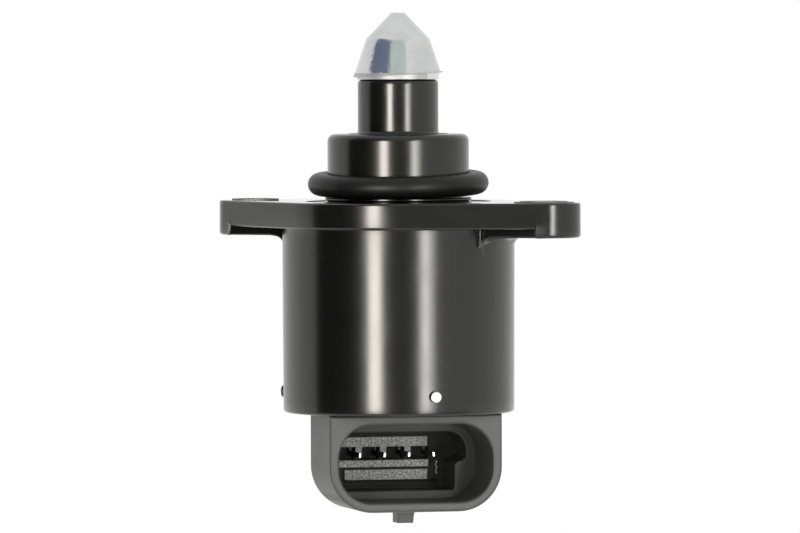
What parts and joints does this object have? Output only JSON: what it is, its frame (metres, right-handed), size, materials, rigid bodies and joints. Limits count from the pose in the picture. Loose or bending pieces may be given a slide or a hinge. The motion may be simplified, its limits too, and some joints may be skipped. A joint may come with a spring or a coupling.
{
  "type": "idle air control valve",
  "caption": "Flange-mounted stepper motor valve: a pintle on a screw shaft slides out of its nose, above a sealed collar, a two-ear flange, a round cup and a socket for its plug.",
  "frame": {"origin": "centre of the flange's mounting face, on the valve axis", "axes": "+Z along the valve axis from the connector to the pintle's tip; the connector faces -Y; the ears lie on the diagonal at -42 and 138 degrees from +X"},
  "size_m": [0.0386, 0.0356, 0.0623],
  "materials": {
    "moulding_black": "gloss",
    "sleeve_steel": "satin",
    "seal_rubber": "matte",
    "cap_plastic": "satin",
    "pin_steel": "polished",
    "stator_steel": "plated",
    "bobbin_plastic": "satin",
    "copper_wire": "enamelled",
    "bearing_steel": "polished",
    "nylon": "satin",
    "bronze": "sintered",
    "magnet": "moulded",
    "shaft_steel": "satin",
    "pintle_metal": "satin",
    "spring_steel": "satin",
    "terminal_metal": "tin plated"
  },
  "bodies": {
    "root": {"housing": "moulding_black", "flange_sleeves": "sleeve_steel", "seal_ring": "seal_rubber", "connector_cap": "cap_plastic", "cap_pins": "pin_steel", "cap_seal": "seal_rubber", "terminal_1": "terminal_metal", "terminal_2": "terminal_metal", "terminal_3": "terminal_metal", "terminal_4": "terminal_metal", "front_stator_cup": "stator_steel", "front_pole_plate": "stator_steel", "rear_pole_plate": "stator_steel", "rear_stator_cup": "stator_steel", "front_bobbin": "bobbin_plastic", "rear_bobbin": "bobbin_plastic", "front_winding": "copper_wire", "rear_winding": "copper_wire", "bearing_outer_race": "bearing_steel", "rear_bush": "bronze", "guide_bush": "nylon", "return_spring": "spring_steel"},
    "rotor": {"rotor_hub": "nylon", "rotor_magnet": "magnet", "bearing_inner_race": "bearing_steel"},
    "bearing_train": {"bearing_balls": "bearing_steel", "bearing_cage": "nylon"},
    "pintle_screw": {"screw_shaft": "shaft_steel", "pintle": "pintle_metal"}
  },
  "joints": [
    {"name": "rotor_spin", "type": "hinge", "parent": "root", "child": "rotor", "pos_m": [0, 0, 0], "axis": [0, 0, 1], "range_deg": [-2880, 0]},
    {"name": "pintle_slide", "type": "slide", "parent": "root", "child": "pintle_screw", "axis": [0, 0, 1], "range_m": [0, 0.008], "deforming": ["return_spring"]},
    {"name": "bearing_orbit", "type": "hinge", "parent": "root", "child": "bearing_train", "pos_m": [0, 0, 0], "axis": [0, 0, 1], "range_deg": [-1137, 0]}
  ],
  "couplings": [
    {"joint": "pintle_slide", "follows": "rotor_spin", "m_per_rad": -0.00015915},
    {"joint": "bearing_orbit", "follows": "rotor_spin", "ratio": 0.39474}
  ]
}
